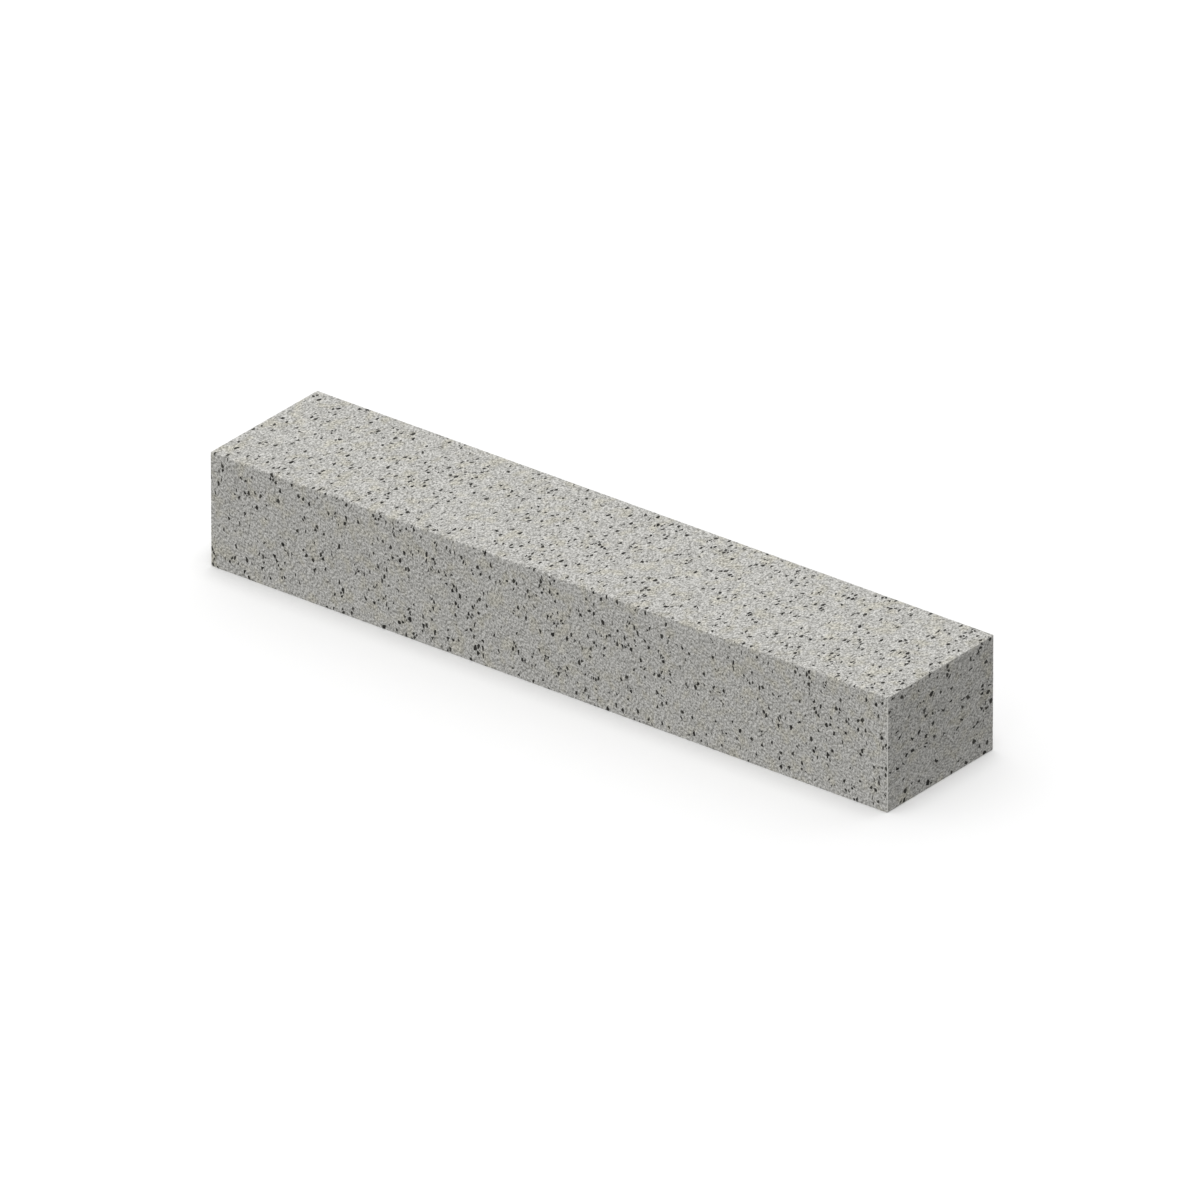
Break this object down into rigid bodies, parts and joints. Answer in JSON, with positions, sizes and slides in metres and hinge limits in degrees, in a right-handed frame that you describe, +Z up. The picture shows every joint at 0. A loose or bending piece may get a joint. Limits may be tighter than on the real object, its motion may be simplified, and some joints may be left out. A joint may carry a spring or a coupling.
{
  "type": "concrete palisade",
  "caption": "Solid rectangular palisade post of shot-blasted precast concrete with finely bevelled arrises, set upright side by side to edge beds, steps and low banks.",
  "frame": {"origin": "middle of the bed face, the broad face that the post lies on", "axes": "+X along the post from its foot to its head, +Y across the broad face, +Z up through the narrow thickness"},
  "size_m": [0.8, 0.16, 0.12],
  "materials": {
    "shot_blasted_concrete": "matte"
  },
  "bodies": {
    "root": {"palisade": "shot_blasted_concrete"}
  },
  "joints": []
}
